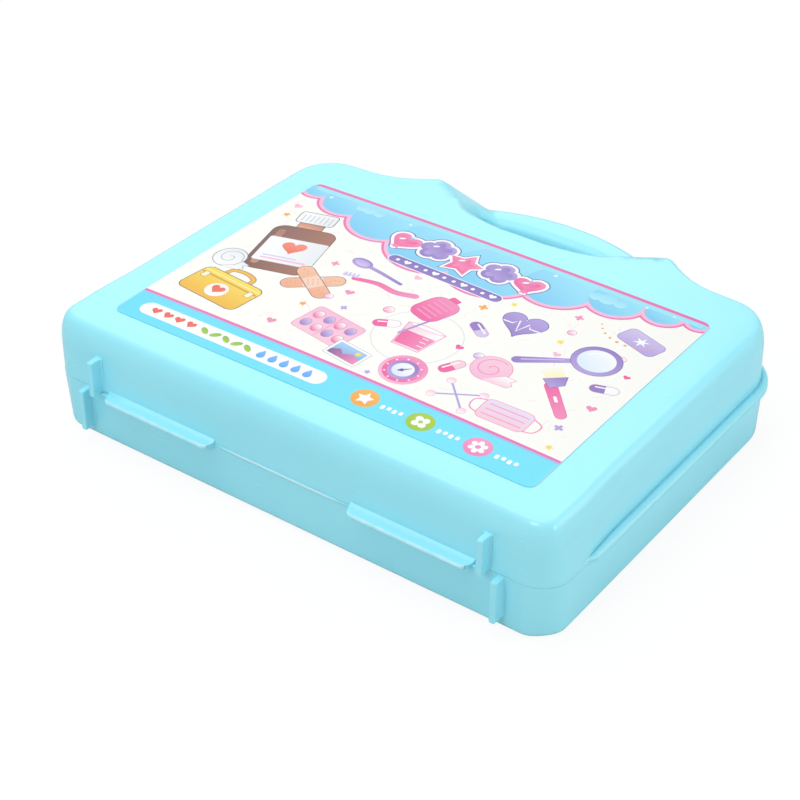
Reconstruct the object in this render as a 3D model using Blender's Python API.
"""Toy doctor case: a two-shell plastic carry case with a moulded handle and a printed label.

The case lies flat, as it does on a table. X runs along the long sides, the hinge is on
the -Y side and the handle on the +Y side. The origin is the centre of the body's footprint,
on the table. Lengths are in metres.
"""

import math

import bmesh
import bpy
from mathutils import Vector
from mathutils.geometry import delaunay_2d_cdt

# Body
BODY_WIDTH = 0.280
BODY_DEPTH = 0.207
BASE_HEIGHT = 0.0286
LID_HEIGHT = 0.0314
LID_CROWN = 0.0032
WALL = 0.0016
FRONT_CORNER_RADIUS = 0.0150
BACK_CORNER_RADIUS = 0.0272
BACK_SLOPE = math.radians(5.0)
LID_DRAFT = math.radians(1.7)
BASE_DRAFT = math.radians(1.1)
SEAM_GAP = 0.0003

# Rounding of the outer edges: how far in from the wall, and how far down it
LID_EDGE_IN = 0.0050
LID_EDGE_DOWN = 0.0130
BASE_EDGE_IN = 0.0036
BASE_EDGE_DOWN = 0.0036
BAR_EDGE = 0.0056
HORN_EDGE = 0.0036
SLOT_EDGE = 0.0035

# Step of the lid's walls and the finger lip round the sides and the back corners
LID_STEP = 0.0021
FRONT_STEP = 0.0013
LID_CORNER_FILL = 0.0012
BASE_CORNER_CUT = 0.0010
LIP_REACH = 0.0022
LIP_EDGE = 0.0007
LIP_HEIGHT = 0.0019
LIP_START = 0.0280
LIP_FADE = 0.0050
LIP_END = 0.0500
LIP_END_FADE = 0.0160

# Handle, split along the seam
HANDLE_REACH = 0.0395
SLOT_LENGTH = 0.0860
SCOOP_DEPTH = 0.0122
SCOOP_RISE = 0.0080
BAR_FOOT = 0.0072
BAR_HALF_HEIGHT = 0.0142
BAR_THICKNESS = 0.0205
BAR_BOW = 0.0030
HORN_RUN = 0.0208
HORN_REACH = 0.0139
RUNOUT_SAG = 0.0027

# Closing skirt under the lid, and the friction pins in the handle
SKIRT_DEPTH = 0.0025
SKIRT_INSET = 0.0002
SKIRT_CLEARANCE = 0.0004
SKIRT_MARGIN = 0.0040
PIN_INSET = 0.0010
PIN_RADIUS = 0.0025
PIN_RISE = 0.0050
PIN_CLEARANCE = 0.0003
SLEEVE_WALL = 0.0018
SLEEVE_DEPTH = 0.0080

# Hinge flanges on the front wall, the folded webs that join them, and the standing ribs
FLANGE_SPACING = 0.0760
FLANGE_INSET = 0.0375
FLANGE_REACH = 0.0055
FLANGE_THICKNESS = 0.0010
FLANGE_TAPER = 0.0045
WEB_THICKNESS = 0.0004
WEB_GAP = 0.0003
WEB_INSET = 0.0055
RIB_WIDTH = 0.0031
RIB_REACH = 0.0063
RIB_CHAMFER = 0.0008
LID_RIB_LENGTH = 0.0185
BASE_RIB_LENGTH = 0.0218
LID_RIB_INSET = 0.0320
BASE_RIB_INSET = 0.0246
ROOT = 0.0013

# Printed label
LABEL_SIDE_MARGIN = 0.0242
LABEL_FRONT_MARGIN = 0.0199
LABEL_BACK_MARGIN = 0.0320
LABEL_CORNER = 0.0045
LABEL_THICKNESS = 0.0003
LABEL_GAP = 0.0002

# Fineness
GRID_STEP = 0.0220
OVERRUN = 0.0010
CORNER_STEPS = 6
RUNOUT_STEPS = 9
ARCH_STEPS = 12
SLOT_STEPS = 36
EDGE_STEPS = 4
FLANGE_STEPS = 4
ROUND_STEPS = 20
SLOT_SQUARENESS = 6
RUNOUT_PULL_SHARE = 0.32
BACK_WALL_SHARES = (0.4, 0.7)

HALF_WIDTH = BODY_WIDTH / 2
HALF_DEPTH = BODY_DEPTH / 2
SLOT_X = SLOT_LENGTH / 2
BAR_X = SLOT_X + BAR_FOOT
HORN_X = BAR_X + HORN_RUN
PIN_X = HORN_X - PIN_INSET
ARCH_TOP_Y = HALF_DEPTH + HANDLE_REACH
ARCH_RISE = HANDLE_REACH - HORN_REACH
ARCH_RADIUS = (HORN_X ** 2 + ARCH_RISE ** 2) / (2 * ARCH_RISE)
ARCH_CENTRE_Y = ARCH_TOP_Y - ARCH_RADIUS
HINGE_Y = -HALF_DEPTH - FLANGE_REACH
FLANGE_START = FLANGE_SPACING / 2
FLANGE_END = HALF_WIDTH - FLANGE_INSET

AQUA = (0.36, 0.80, 0.90)
LABEL_WHITE = (0.96, 0.95, 0.90)


def material(name, colour, roughness):
    """A plain plastic or paper finish."""
    finish = bpy.data.materials.new(name)
    finish.use_nodes = True
    shader = finish.node_tree.nodes["Principled BSDF"]
    shader.inputs["Base Color"].default_value = (*colour, 1.0)
    shader.inputs["Roughness"].default_value = roughness
    shader.inputs["Metallic"].default_value = 0.0
    return finish


def new_object(name, bm, finish=None):
    """Puts a finished bmesh into the scene as an object with smooth faces and crisp edges."""
    bmesh.ops.recalc_face_normals(bm, faces=bm.faces)
    mesh = bpy.data.meshes.new(name)
    bm.to_mesh(mesh)
    bm.free()
    mesh.shade_smooth()
    mesh.set_sharp_from_angle(angle=math.radians(40.0))
    thing = bpy.data.objects.new(name, mesh)
    bpy.context.scene.collection.objects.link(thing)
    if finish:
        mesh.materials.append(finish)
    return thing


def guide(thing):
    """Marks an object as a helper that is not a piece of the case."""
    thing.hide_render = True
    thing.display_type = "WIRE"
    return thing


def boolean(target, operation, helper):
    """Joins a helper to a piece, or cuts it from the piece."""
    step = target.modifiers.new(helper.name, "BOOLEAN")
    step.operation = operation
    step.solver = "EXACT"
    step.object = guide(helper)


def ease(value, start, end):
    """Smooth step from 0 at start to 1 at end."""
    t = min(max((value - start) / (end - start), 0.0), 1.0)
    return t * t * (3.0 - 2.0 * t)


def arc(centre, radius, start, end, steps):
    """Points of an arc between two angles, both ends included."""
    angles = (start + (end - start) * i / steps for i in range(steps + 1))
    return [Vector((centre[0] + radius * math.cos(a), centre[1] + radius * math.sin(a))) for a in angles]


def cubic(start, pull_start, pull_end, end, steps):
    """Inner points of a cubic curve."""
    points = []
    for i in range(1, steps):
        t = i / steps
        near, far = (1 - t) ** 3 * start + 3 * (1 - t) ** 2 * t * pull_start, t ** 3 * end
        points.append(near + 3 * (1 - t) * t * t * pull_end + far)
    return points


def mirrored(half):
    """Closes a half outline, given from its +Y end round the +X side, into an anticlockwise loop."""
    left = [Vector((-p.x, p.y)) for p in half if p.x > OVERRUN]
    return list(reversed(half)) + left


def offset(loop, distances):
    """Moves each point of an anticlockwise loop inwards, with square corners kept."""
    moved = []
    for i, point in enumerate(loop):
        before = (point - loop[i - 1]).normalized()
        after = (loop[(i + 1) % len(loop)] - point).normalized()
        inward = Vector((-before.y - after.y, before.x + after.x))
        inward /= 1.0 + before.dot(after)
        moved.append(point + inward * distances[i])
    return moved


def arch_y(x):
    """The handle's outer edge."""
    return ARCH_CENTRE_Y + math.sqrt(max(ARCH_RADIUS ** 2 - x * x, 0.0))


def body_outline():
    """The base's outline at the seam, with the handle's arch running out into the back corners."""
    horn_angle = math.acos(HORN_X / ARCH_RADIUS)
    arch = arc((0.0, ARCH_CENTRE_Y), ARCH_RADIUS, math.pi / 2, horn_angle, ARCH_STEPS)
    corner_centre = (HALF_WIDTH - BACK_CORNER_RADIUS, HALF_DEPTH - BACK_CORNER_RADIUS)
    corner = arc(corner_centre, BACK_CORNER_RADIUS, math.pi / 2 - BACK_SLOPE, 0.0, CORNER_STEPS)
    leave = Vector((math.tan(horn_angle), -1.0))
    arrive = Vector((math.cos(BACK_SLOPE), -math.sin(BACK_SLOPE)))
    pull_start = arch[-1] + leave * (HORN_REACH + RUNOUT_SAG)
    pull_end = corner[0] - arrive * (corner[0] - arch[-1]).length * RUNOUT_PULL_SHARE
    runout = cubic(arch[-1], pull_start, pull_end, corner[0], RUNOUT_STEPS)
    lip_front = -HALF_DEPTH + LIP_START
    side = [Vector((HALF_WIDTH, y)) for y in (0.0, lip_front + LIP_FADE, lip_front + LIP_FADE / 2, lip_front)]
    front_centre = (HALF_WIDTH - FRONT_CORNER_RADIUS, -HALF_DEPTH + FRONT_CORNER_RADIUS)
    front = arc(front_centre, FRONT_CORNER_RADIUS, 0.0, -math.pi / 2, CORNER_STEPS)
    middle = [Vector((HALF_WIDTH / 2, -HALF_DEPTH)), Vector((0.0, -HALF_DEPTH))]
    return mirrored(arch + runout + corner + side + front + middle)


def lip_share(point):
    """1 where the finger lip stands out, 0 along the hinge side and the handle."""
    from_front = ease(point.y, -HALF_DEPTH + LIP_START, -HALF_DEPTH + LIP_START + LIP_FADE)
    from_handle = ease(abs(point.x), HALF_WIDTH - LIP_END, HALF_WIDTH - LIP_END + LIP_END_FADE)
    return from_front * (from_handle if point.y > 0 else 1.0)


def side_share(point):
    """1 along the sides, falling to 0 round the corners, for a wall that only steps in sideways."""
    radius = BACK_CORNER_RADIUS if point.y > 0 else FRONT_CORNER_RADIUS
    share = min(max((abs(point.x) - HALF_WIDTH + radius) / radius, 0.0), 1.0)
    return share ** 3 if point.y > 0 else share


def slot_edges(x):
    """The scooped body side and the bar side of the finger slot."""
    share = (x / SLOT_X) ** 2
    return HALF_DEPTH - SCOOP_DEPTH + SCOOP_RISE * share, ARCH_TOP_Y - BAR_THICKNESS - BAR_BOW * share


def slot_outline():
    """The finger slot, as an anticlockwise loop with rounded ends."""
    points = []
    for i in range(SLOT_STEPS):
        angle = 2 * math.pi * (i + 0.5) / SLOT_STEPS
        along = math.copysign(abs(math.cos(angle)) ** (2 / SLOT_SQUARENESS), math.cos(angle))
        across = math.copysign(abs(math.sin(angle)) ** (2 / SLOT_SQUARENESS), math.sin(angle))
        low, high = slot_edges(along * SLOT_X)
        points.append(Vector((along * SLOT_X, (low + high) / 2 + across * (high - low) / 2)))
    return points


def crowned(x, y, height, crown):
    """Height of a shell's broad face over the seam."""
    return height + crown * (1 - (x / HALF_WIDTH) ** 2) * (1 - (y / HALF_DEPTH) ** 2)


def face_height(x, y, height, crown):
    """Height of a shell's outer face over the seam: the broad face, the sloping horns or the bar."""
    broad = crowned(x, y, height, crown)
    if abs(x) < SLOT_X and y < sum(slot_edges(x)) / 2:
        return broad
    tip = Vector((HORN_X, arch_y(HORN_X), crowned(HORN_X, arch_y(HORN_X), height, crown)))
    foot = Vector((BAR_X, arch_y(BAR_X), BAR_HALF_HEIGHT))
    scoop_end = slot_edges(SLOT_X)[0]
    crease = Vector((SLOT_X, scoop_end, crowned(SLOT_X, scoop_end, height, crown)))
    normal = (foot - tip).cross(crease - tip)
    slope = tip.z - (normal.x * (abs(x) - tip.x) + normal.y * (y - tip.y)) / normal.z
    return min(broad, max(BAR_HALF_HEIGHT, slope))


def edge_size(point, edge_in, edge_down):
    """Rounding of the outer edge: the bar's, the horns' or the body's, with a gradual change between them."""
    if point.y < 0:
        return edge_in, edge_down
    handle = BAR_EDGE + (HORN_EDGE - BAR_EDGE) * ease(abs(point.x), BAR_X, HORN_X)
    share = ease(abs(point.x), HORN_X, HALF_WIDTH - BACK_CORNER_RADIUS)
    return handle + (edge_in - handle) * share, handle + (edge_down - handle) * share


def inside(point, loop):
    """Whether a point lies inside a closed loop."""
    found = False
    for i, end in enumerate(loop):
        start = loop[i - 1]
        if (start.y > point.y) != (end.y > point.y):
            crossing = start.x + (end.x - start.x) * (point.y - start.y) / (end.y - start.y)
            found ^= point.x < crossing
    return found


def clear_of(point, loops, distance):
    """Whether a point keeps a distance from every corner of some loops."""
    return all((point - corner).length > distance for loop in loops for corner in loop)


def grid_points(outer, holes):
    """Evenly spaced points inside a face, for a surface that curves."""
    points = []
    columns, rows = (math.ceil(size / GRID_STEP) for size in (HALF_WIDTH, ARCH_TOP_Y))
    for column in range(-columns, columns + 1):
        for row in range(-rows, rows + 1):
            point = Vector((column * GRID_STEP, row * GRID_STEP))
            in_hole = any(inside(point, hole) for hole in holes)
            if inside(point, outer) and not in_hole and clear_of(point, [outer, *holes], GRID_STEP / 3):
                points.append(point)
    return points


def cap(bm, rings, extra, height):
    """Fills the face between an outer ring of vertices and its hole rings, through extra points."""
    loops = [[Vector(v.co.xy) for v in ring] for ring in rings]
    corners = [v for ring in rings for v in ring]
    corners += [bm.verts.new((p.x, p.y, height(p.x, p.y))) for p in extra]
    edges, first = [], 0
    for ring in rings:
        edges += [(first + i, first + (i + 1) % len(ring)) for i in range(len(ring))]
        first += len(ring)
    flat = [Vector(v.co.xy) for v in corners]
    points, _, faces, origins, _, _ = delaunay_2d_cdt(flat, edges, [], 0, 1e-9)
    for face in faces:
        middle = sum((points[i] for i in face), Vector((0.0, 0.0))) / len(face)
        if inside(middle, loops[0]) and not any(inside(middle, hole) for hole in loops[1:]):
            bm.faces.new([corners[origins[i][0]] for i in face])


def ring(bm, loop, heights):
    """A closed ring of vertices."""
    return [bm.verts.new((p.x, p.y, h)) for p, h in zip(loop, heights)]


def skin(bm, rings):
    """Joins rings of as many vertices with faces."""
    for low, high in zip(rings, rings[1:]):
        for i in range(len(low)):
            j = (i + 1) % len(low)
            bm.faces.new((low[i], low[j], high[j], high[i]))


def rounded_rings(bm, loop, inset, edges, draft, height):
    """Rings up a wall and over its rounded edge. inset and edges, as (in, down), are given for each point."""
    rings = []
    for step in range(EDGE_STEPS + 1):
        angle = math.pi / 2 * step / EDGE_STEPS
        over = [size[0] * (1 - math.cos(angle)) for size in edges]
        flat = offset(loop, [a + b for a, b in zip(inset, over)])
        wall = [height(p.x, p.y) - size[1] for p, size in zip(flat, edges)]
        lean = [draft * max(h, 0.0) for h in wall]
        moved = offset(loop, [a + b + c for a, b, c in zip(inset, over, lean)])
        down = [size[1] * (1 - math.sin(angle)) for size in edges]
        rings.append(ring(bm, moved, [height(p.x, p.y) - d for p, d in zip(moved, down)]))
    return rings


def tray_outline(step):
    """The compartment's wall in one shell, drawn in by the shell's own step and kept off the slot."""
    right, back, front = HALF_WIDTH - step - WALL, HALF_DEPTH - WALL, -HALF_DEPTH + WALL
    back_radius, front_radius = BACK_CORNER_RADIUS - WALL, FRONT_CORNER_RADIUS - WALL
    corner = arc((right - back_radius, back - back_radius), back_radius, math.pi / 2, 0.0, CORNER_STEPS)
    front_centre = (right - front_radius, front + front_radius)
    front_corner = arc(front_centre, front_radius, 0.0, -math.pi / 2, CORNER_STEPS)
    slot = offset(slot_outline(), [-WALL] * SLOT_STEPS)
    scoop = sorted((p for p in slot if p.y < back - WALL / 2 and p.x > OVERRUN), key=slot_walk)
    crossing = Vector((max(p.x for p in slot), back))
    along_back = [crossing.lerp(corner[0], share) for share in BACK_WALL_SHARES]
    middle = Vector((0.0, slot_edges(0.0)[0] - WALL))
    bottom = [Vector((0.0, front))]
    return mirrored([middle] + scoop + [crossing] + along_back + corner + front_corner + bottom)


def slot_walk(point):
    """Order of points round the slot's end, from the scoop's middle outwards."""
    low, high = slot_edges(0.0)
    return math.atan2(point.y - (low + high) / 2, point.x)


def channel_outline(step, outline):
    """The hollow of one handle half, round the slot's bar side and behind the compartment's back wall."""
    front = HALF_DEPTH + OVERRUN
    walls = offset(outline, [WALL + step * side_share(p) for p in outline])
    outer = [p for p in walls if p.y > front + OVERRUN]
    right = sorted((p for p in outer if p.x > OVERRUN), key=lambda p: p.x)
    top = [p for p in outer if abs(p.x) <= OVERRUN]
    slot = offset(slot_outline(), [-WALL] * SLOT_STEPS)
    bar = sorted((p for p in slot if p.y > front and p.x > OVERRUN), key=slot_walk, reverse=True)
    bar_middle = Vector((0.0, slot_edges(0.0)[1] + WALL))
    inner_foot = Vector((max(p.x for p in slot), front))
    outer_foot = Vector((right[-1].x, front))
    half = top + right + [outer_foot, inner_foot] + [p for p in reversed(bar) if p.y > front + OVERRUN]
    left = [Vector((-p.x, p.y)) for p in reversed(half[len(top):])]
    return list(reversed(top + half[len(top):] + [bar_middle] + left))


def shell_mesh(height, crown, edge_in, edge_down, steps, corner_fill, draft_angle):
    """One shell with its rim at height 0 and its outer face up. steps are for its sides and front corners."""
    bm = bmesh.new()
    outline, slot = body_outline(), slot_outline()
    draft = math.tan(draft_angle)

    def outer(x, y):
        return face_height(x, y, height, crown)

    def tray_top(x, y):
        return crowned(x, y, height, crown) - WALL

    def channel_top(x, y):
        return outer(x, y) - WALL - HORN_EDGE / 2

    lip = offset(outline, [-LIP_REACH * lip_share(p) for p in outline])
    step, front_step = steps
    shares = [side_share(p) for p in outline]
    foot = [step * share * (lip_share(p) if p.y < 0 else 1.0) for share, p in zip(shares, outline)]
    wall = []
    for share, p, low in zip(shares, outline, foot):
        upper = front_step * share - corner_fill * 4 * share ** 2 * (1 - share ** 2)
        wall.append(low + (upper - low) * (1 - lip_share(p)) if p.y < 0 else low)
    edges = [edge_size(p, edge_in, edge_down) for p in outline]
    rim = ring(bm, lip, [0.0] * len(lip))
    lip_edge = ring(bm, lip, [LIP_EDGE] * len(lip))
    lip_top = ring(bm, offset(outline, [f + draft * LIP_HEIGHT for f in foot]), [LIP_HEIGHT] * len(lip))
    rings = [rim, lip_edge, lip_top] + rounded_rings(bm, outline, wall, edges, draft, outer)
    skin(bm, rings)

    slot_edge = [(-SLOT_EDGE, SLOT_EDGE)] * SLOT_STEPS
    slot_rim = ring(bm, slot, [0.0] * SLOT_STEPS)
    slot_rings = [slot_rim] + rounded_rings(bm, slot, [0.0] * SLOT_STEPS, slot_edge, 0.0, outer)
    skin(bm, slot_rings)

    face_loop = [Vector(v.co.xy) for v in rings[-1]]
    hole_loop = [Vector(v.co.xy) for v in slot_rings[-1]]
    cap(bm, [rings[-1], slot_rings[-1]], grid_points(face_loop, [hole_loop]), outer)

    tray = tray_outline(step)
    full = HALF_WIDTH - BACK_CORNER_RADIUS
    weights = [ease(abs(p.x), HORN_X, full) if p.y > 0 else 1.0 for p in tray]
    tray_edges = [(edge_in * w, edge_down * w) for w in weights]
    tray_rim = ring(bm, tray, [0.0] * len(tray))
    tray_rings = [tray_rim] + rounded_rings(bm, tray, [0.0] * len(tray), tray_edges, draft, tray_top)
    skin(bm, tray_rings)
    tray_loop = [Vector(v.co.xy) for v in tray_rings[-1]]
    cap(bm, [tray_rings[-1]], grid_points(tray_loop, []), tray_top)

    channel = channel_outline(step, outline)
    channel_rim = ring(bm, channel, [0.0] * len(channel))
    channel_roof = ring(bm, channel, [channel_top(p.x, p.y) for p in channel])
    skin(bm, [channel_rim, channel_roof])
    cap(bm, [channel_roof], [], channel_top)

    cap(bm, [rim, slot_rim, tray_rim, channel_rim], [], outer)
    bmesh.ops.recalc_face_normals(bm, faces=bm.faces)
    return bm


def prism(bm, points, low, high):
    """A straight block over an anticlockwise outline."""
    bottom = [bm.verts.new((x, y, low)) for x, y in points]
    top = [bm.verts.new((x, y, high)) for x, y in points]
    skin(bm, [bottom, top])
    bm.faces.new(list(reversed(bottom)))
    bm.faces.new(top)


def rod(bm, centre, radius, low, high):
    """An upright round rod."""
    prism(bm, [p.to_tuple() for p in arc(centre, radius, 0.0, 2 * math.pi, ROUND_STEPS)[:-1]], low, high)


def rib(bm, x, length):
    """A standing rib on the front wall, from the seam up the shell, with chamfered outer ends."""
    out, root = -HALF_DEPTH - RIB_REACH, -HALF_DEPTH + ROOT
    profile = (
        (root, 0.0), (root, length), (out + RIB_CHAMFER, length),
        (out, length - RIB_CHAMFER), (out, RIB_CHAMFER), (out + RIB_CHAMFER, 0.0),
    )
    faces = (x - RIB_WIDTH / 2, x + RIB_WIDTH / 2)
    sides = [[bm.verts.new((face, y, z)) for y, z in profile] for face in faces]
    skin(bm, sides)
    bm.faces.new(list(reversed(sides[0])))
    bm.faces.new(sides[1])


def flange(bm, side):
    """A hinge flange along one half of the front wall, its outer edge curved back at both ends."""
    root, wall = -HALF_DEPTH + ROOT, -HALF_DEPTH
    turns = [math.pi / 2 * i / FLANGE_STEPS for i in range(FLANGE_STEPS + 1)]
    curve = [(FLANGE_TAPER * (1 - math.cos(t)), wall - FLANGE_REACH * math.sin(t)) for t in turns]
    near = [(FLANGE_START + x, y) for x, y in curve]
    far = [(FLANGE_END - x, y) for x, y in reversed(curve)]
    half = [(FLANGE_START, root)] + near + far + [(FLANGE_END, root)]
    prism(bm, [(side * x, y) for x, y in half], 0.0, FLANGE_THICKNESS)


def skirt(bm, side):
    """The lid's skirt, which drops inside the base's wall along a side."""
    outer = side * (HALF_WIDTH - WALL - SKIRT_CLEARANCE)
    inner = side * (HALF_WIDTH - LID_STEP - WALL + SKIRT_INSET)
    front = -HALF_DEPTH + LIP_START + LIP_FADE + SKIRT_MARGIN
    back = HALF_DEPTH - BACK_CORNER_RADIUS - SKIRT_MARGIN
    prism(bm, [(inner, front), (outer, front), (outer, back), (inner, back)], -SKIRT_DEPTH, OVERRUN)


def placed(bm, up):
    """Moves a shell's mesh from its rim's own frame to the case: up for the lid, down for the base."""
    for vert in bm.verts:
        vert.co.z = BASE_HEIGHT + up * (SEAM_GAP / 2 + vert.co.z)
    return bm


def pin_place():
    """The middle of the horn's hollow, across from the slot's end."""
    front = HALF_DEPTH + WALL
    return (front + arch_y(PIN_X) - WALL) / 2


def make_base(finish):
    """The base shell with its half of the handle, hinge flanges, standing ribs and closing pins."""
    height = BASE_HEIGHT - SEAM_GAP / 2
    bm = shell_mesh(height, 0.0, BASE_EDGE_IN, BASE_EDGE_DOWN, (0.0, 0.0), -BASE_CORNER_CUT, BASE_DRAFT)
    base = new_object("base_shell", placed(bm, -1), finish)
    bm = bmesh.new()
    for side in (-1, 1):
        flange(bm, side)
        rib(bm, side * (HALF_WIDTH - BASE_RIB_INSET), BASE_RIB_LENGTH)
        rod(bm, (side * PIN_X, pin_place()), PIN_RADIUS, -PIN_RISE, BASE_HEIGHT - WALL)
    boolean(base, "UNION", new_object("base_fittings", placed(bm, -1)))
    return base


def make_lid(finish):
    """The lid shell with its half of the handle, hinge flanges, standing ribs, skirt and pin sleeves."""
    height, steps = LID_HEIGHT - SEAM_GAP / 2, (LID_STEP, FRONT_STEP)
    bm = shell_mesh(height, LID_CROWN, LID_EDGE_IN, LID_EDGE_DOWN, steps, LID_CORNER_FILL, LID_DRAFT)
    lid = new_object("lid_shell", placed(bm, 1), finish)
    bm, bores = bmesh.new(), bmesh.new()
    bore = PIN_RADIUS + PIN_CLEARANCE
    sleeve_top = face_height(PIN_X, pin_place(), LID_HEIGHT, LID_CROWN) - WALL
    for side in (-1, 1):
        flange(bm, side)
        rib(bm, side * (HALF_WIDTH - LID_RIB_INSET), LID_RIB_LENGTH)
        skirt(bm, side)
        centre = (side * PIN_X, pin_place())
        rod(bm, centre, bore + SLEEVE_WALL, 0.0, sleeve_top)
        rod(bores, centre, bore, -OVERRUN, SLEEVE_DEPTH)
    boolean(lid, "UNION", new_object("lid_fittings", placed(bm, 1)))
    boolean(lid, "DIFFERENCE", new_object("sleeve_bores", placed(bores, 1)))
    return lid


def make_web(name, side, finish):
    """The thin strip folded round the two flanges' outer edges, on which the lid turns."""
    bm = bmesh.new()
    inner = FLANGE_THICKNESS + SEAM_GAP / 2
    outer = inner + WEB_THICKNESS
    centre = (HINGE_Y - WEB_GAP, BASE_HEIGHT)
    far = arc(centre, 1.0, math.pi / 2, 3 * math.pi / 2, ROUND_STEPS // 2)
    profile = []
    for radius, points in ((outer, far), (inner, reversed(far))):
        bulge = radius - inner + WEB_THICKNESS
        for p in points:
            profile.append((centre[0] + (p.x - centre[0]) * bulge, centre[1] + (p.y - centre[1]) * radius))
    ends = (side * (FLANGE_START + FLANGE_TAPER), side * (FLANGE_END - WEB_INSET))
    rings = [[bm.verts.new((x, y, z)) for y, z in profile] for x in ends]
    skin(bm, rings)
    bm.faces.new(list(reversed(rings[0])))
    bm.faces.new(rings[1])
    return new_object(name, bm, finish)


def make_label(finish):
    """The printed sheet stuck on the lid's crowned face."""
    bm = bmesh.new()
    front, back = -HALF_DEPTH + LABEL_FRONT_MARGIN, HALF_DEPTH - LABEL_BACK_MARGIN
    right = HALF_WIDTH - LABEL_SIDE_MARGIN
    turn_x = right - LABEL_CORNER
    back_corner = arc((turn_x, back - LABEL_CORNER), LABEL_CORNER, math.pi / 2, 0.0, CORNER_STEPS)
    front_corner = arc((turn_x, front + LABEL_CORNER), LABEL_CORNER, 0.0, -math.pi / 2, CORNER_STEPS)
    steps = math.ceil(right / GRID_STEP)
    across = [right * i / steps for i in range(steps)]
    rows = math.ceil((back - front) / GRID_STEP)
    side = [Vector((right, back + (front - back) * i / rows)) for i in range(1, rows)]
    half = [Vector((x, back)) for x in across[:-1]] + back_corner + side + front_corner
    loop = mirrored(half + [Vector((x, front)) for x in reversed(across[:-1])])
    faces = []
    for lift in (LABEL_GAP, LABEL_GAP + LABEL_THICKNESS):
        def height(x, y, lift=lift):
            return BASE_HEIGHT + crowned(x, y, LID_HEIGHT, LID_CROWN) + lift
        edge = ring(bm, loop, [height(p.x, p.y) for p in loop])
        cap(bm, [edge], grid_points(loop, []), height)
        faces.append(edge)
    skin(bm, faces)
    return new_object("label_sheet", bm, finish)


def main():
    for thing in list(bpy.data.objects):
        bpy.data.objects.remove(thing)
    plastic = material("aqua_plastic", AQUA, 0.35)
    paper = material("label_paper", LABEL_WHITE, 0.30)
    make_base(plastic)
    lid = make_lid(plastic)
    make_web("hinge_web_left", -1, plastic)
    make_web("hinge_web_right", 1, plastic)
    label = make_label(paper)
    hinge = bpy.data.objects.new("lid_hinge_axis", None)
    hinge.location = (0.0, HINGE_Y, BASE_HEIGHT)
    bpy.context.scene.collection.objects.link(hinge)
    for thing in (lid, label):
        thing.parent = hinge
        thing.location = -hinge.location


main()
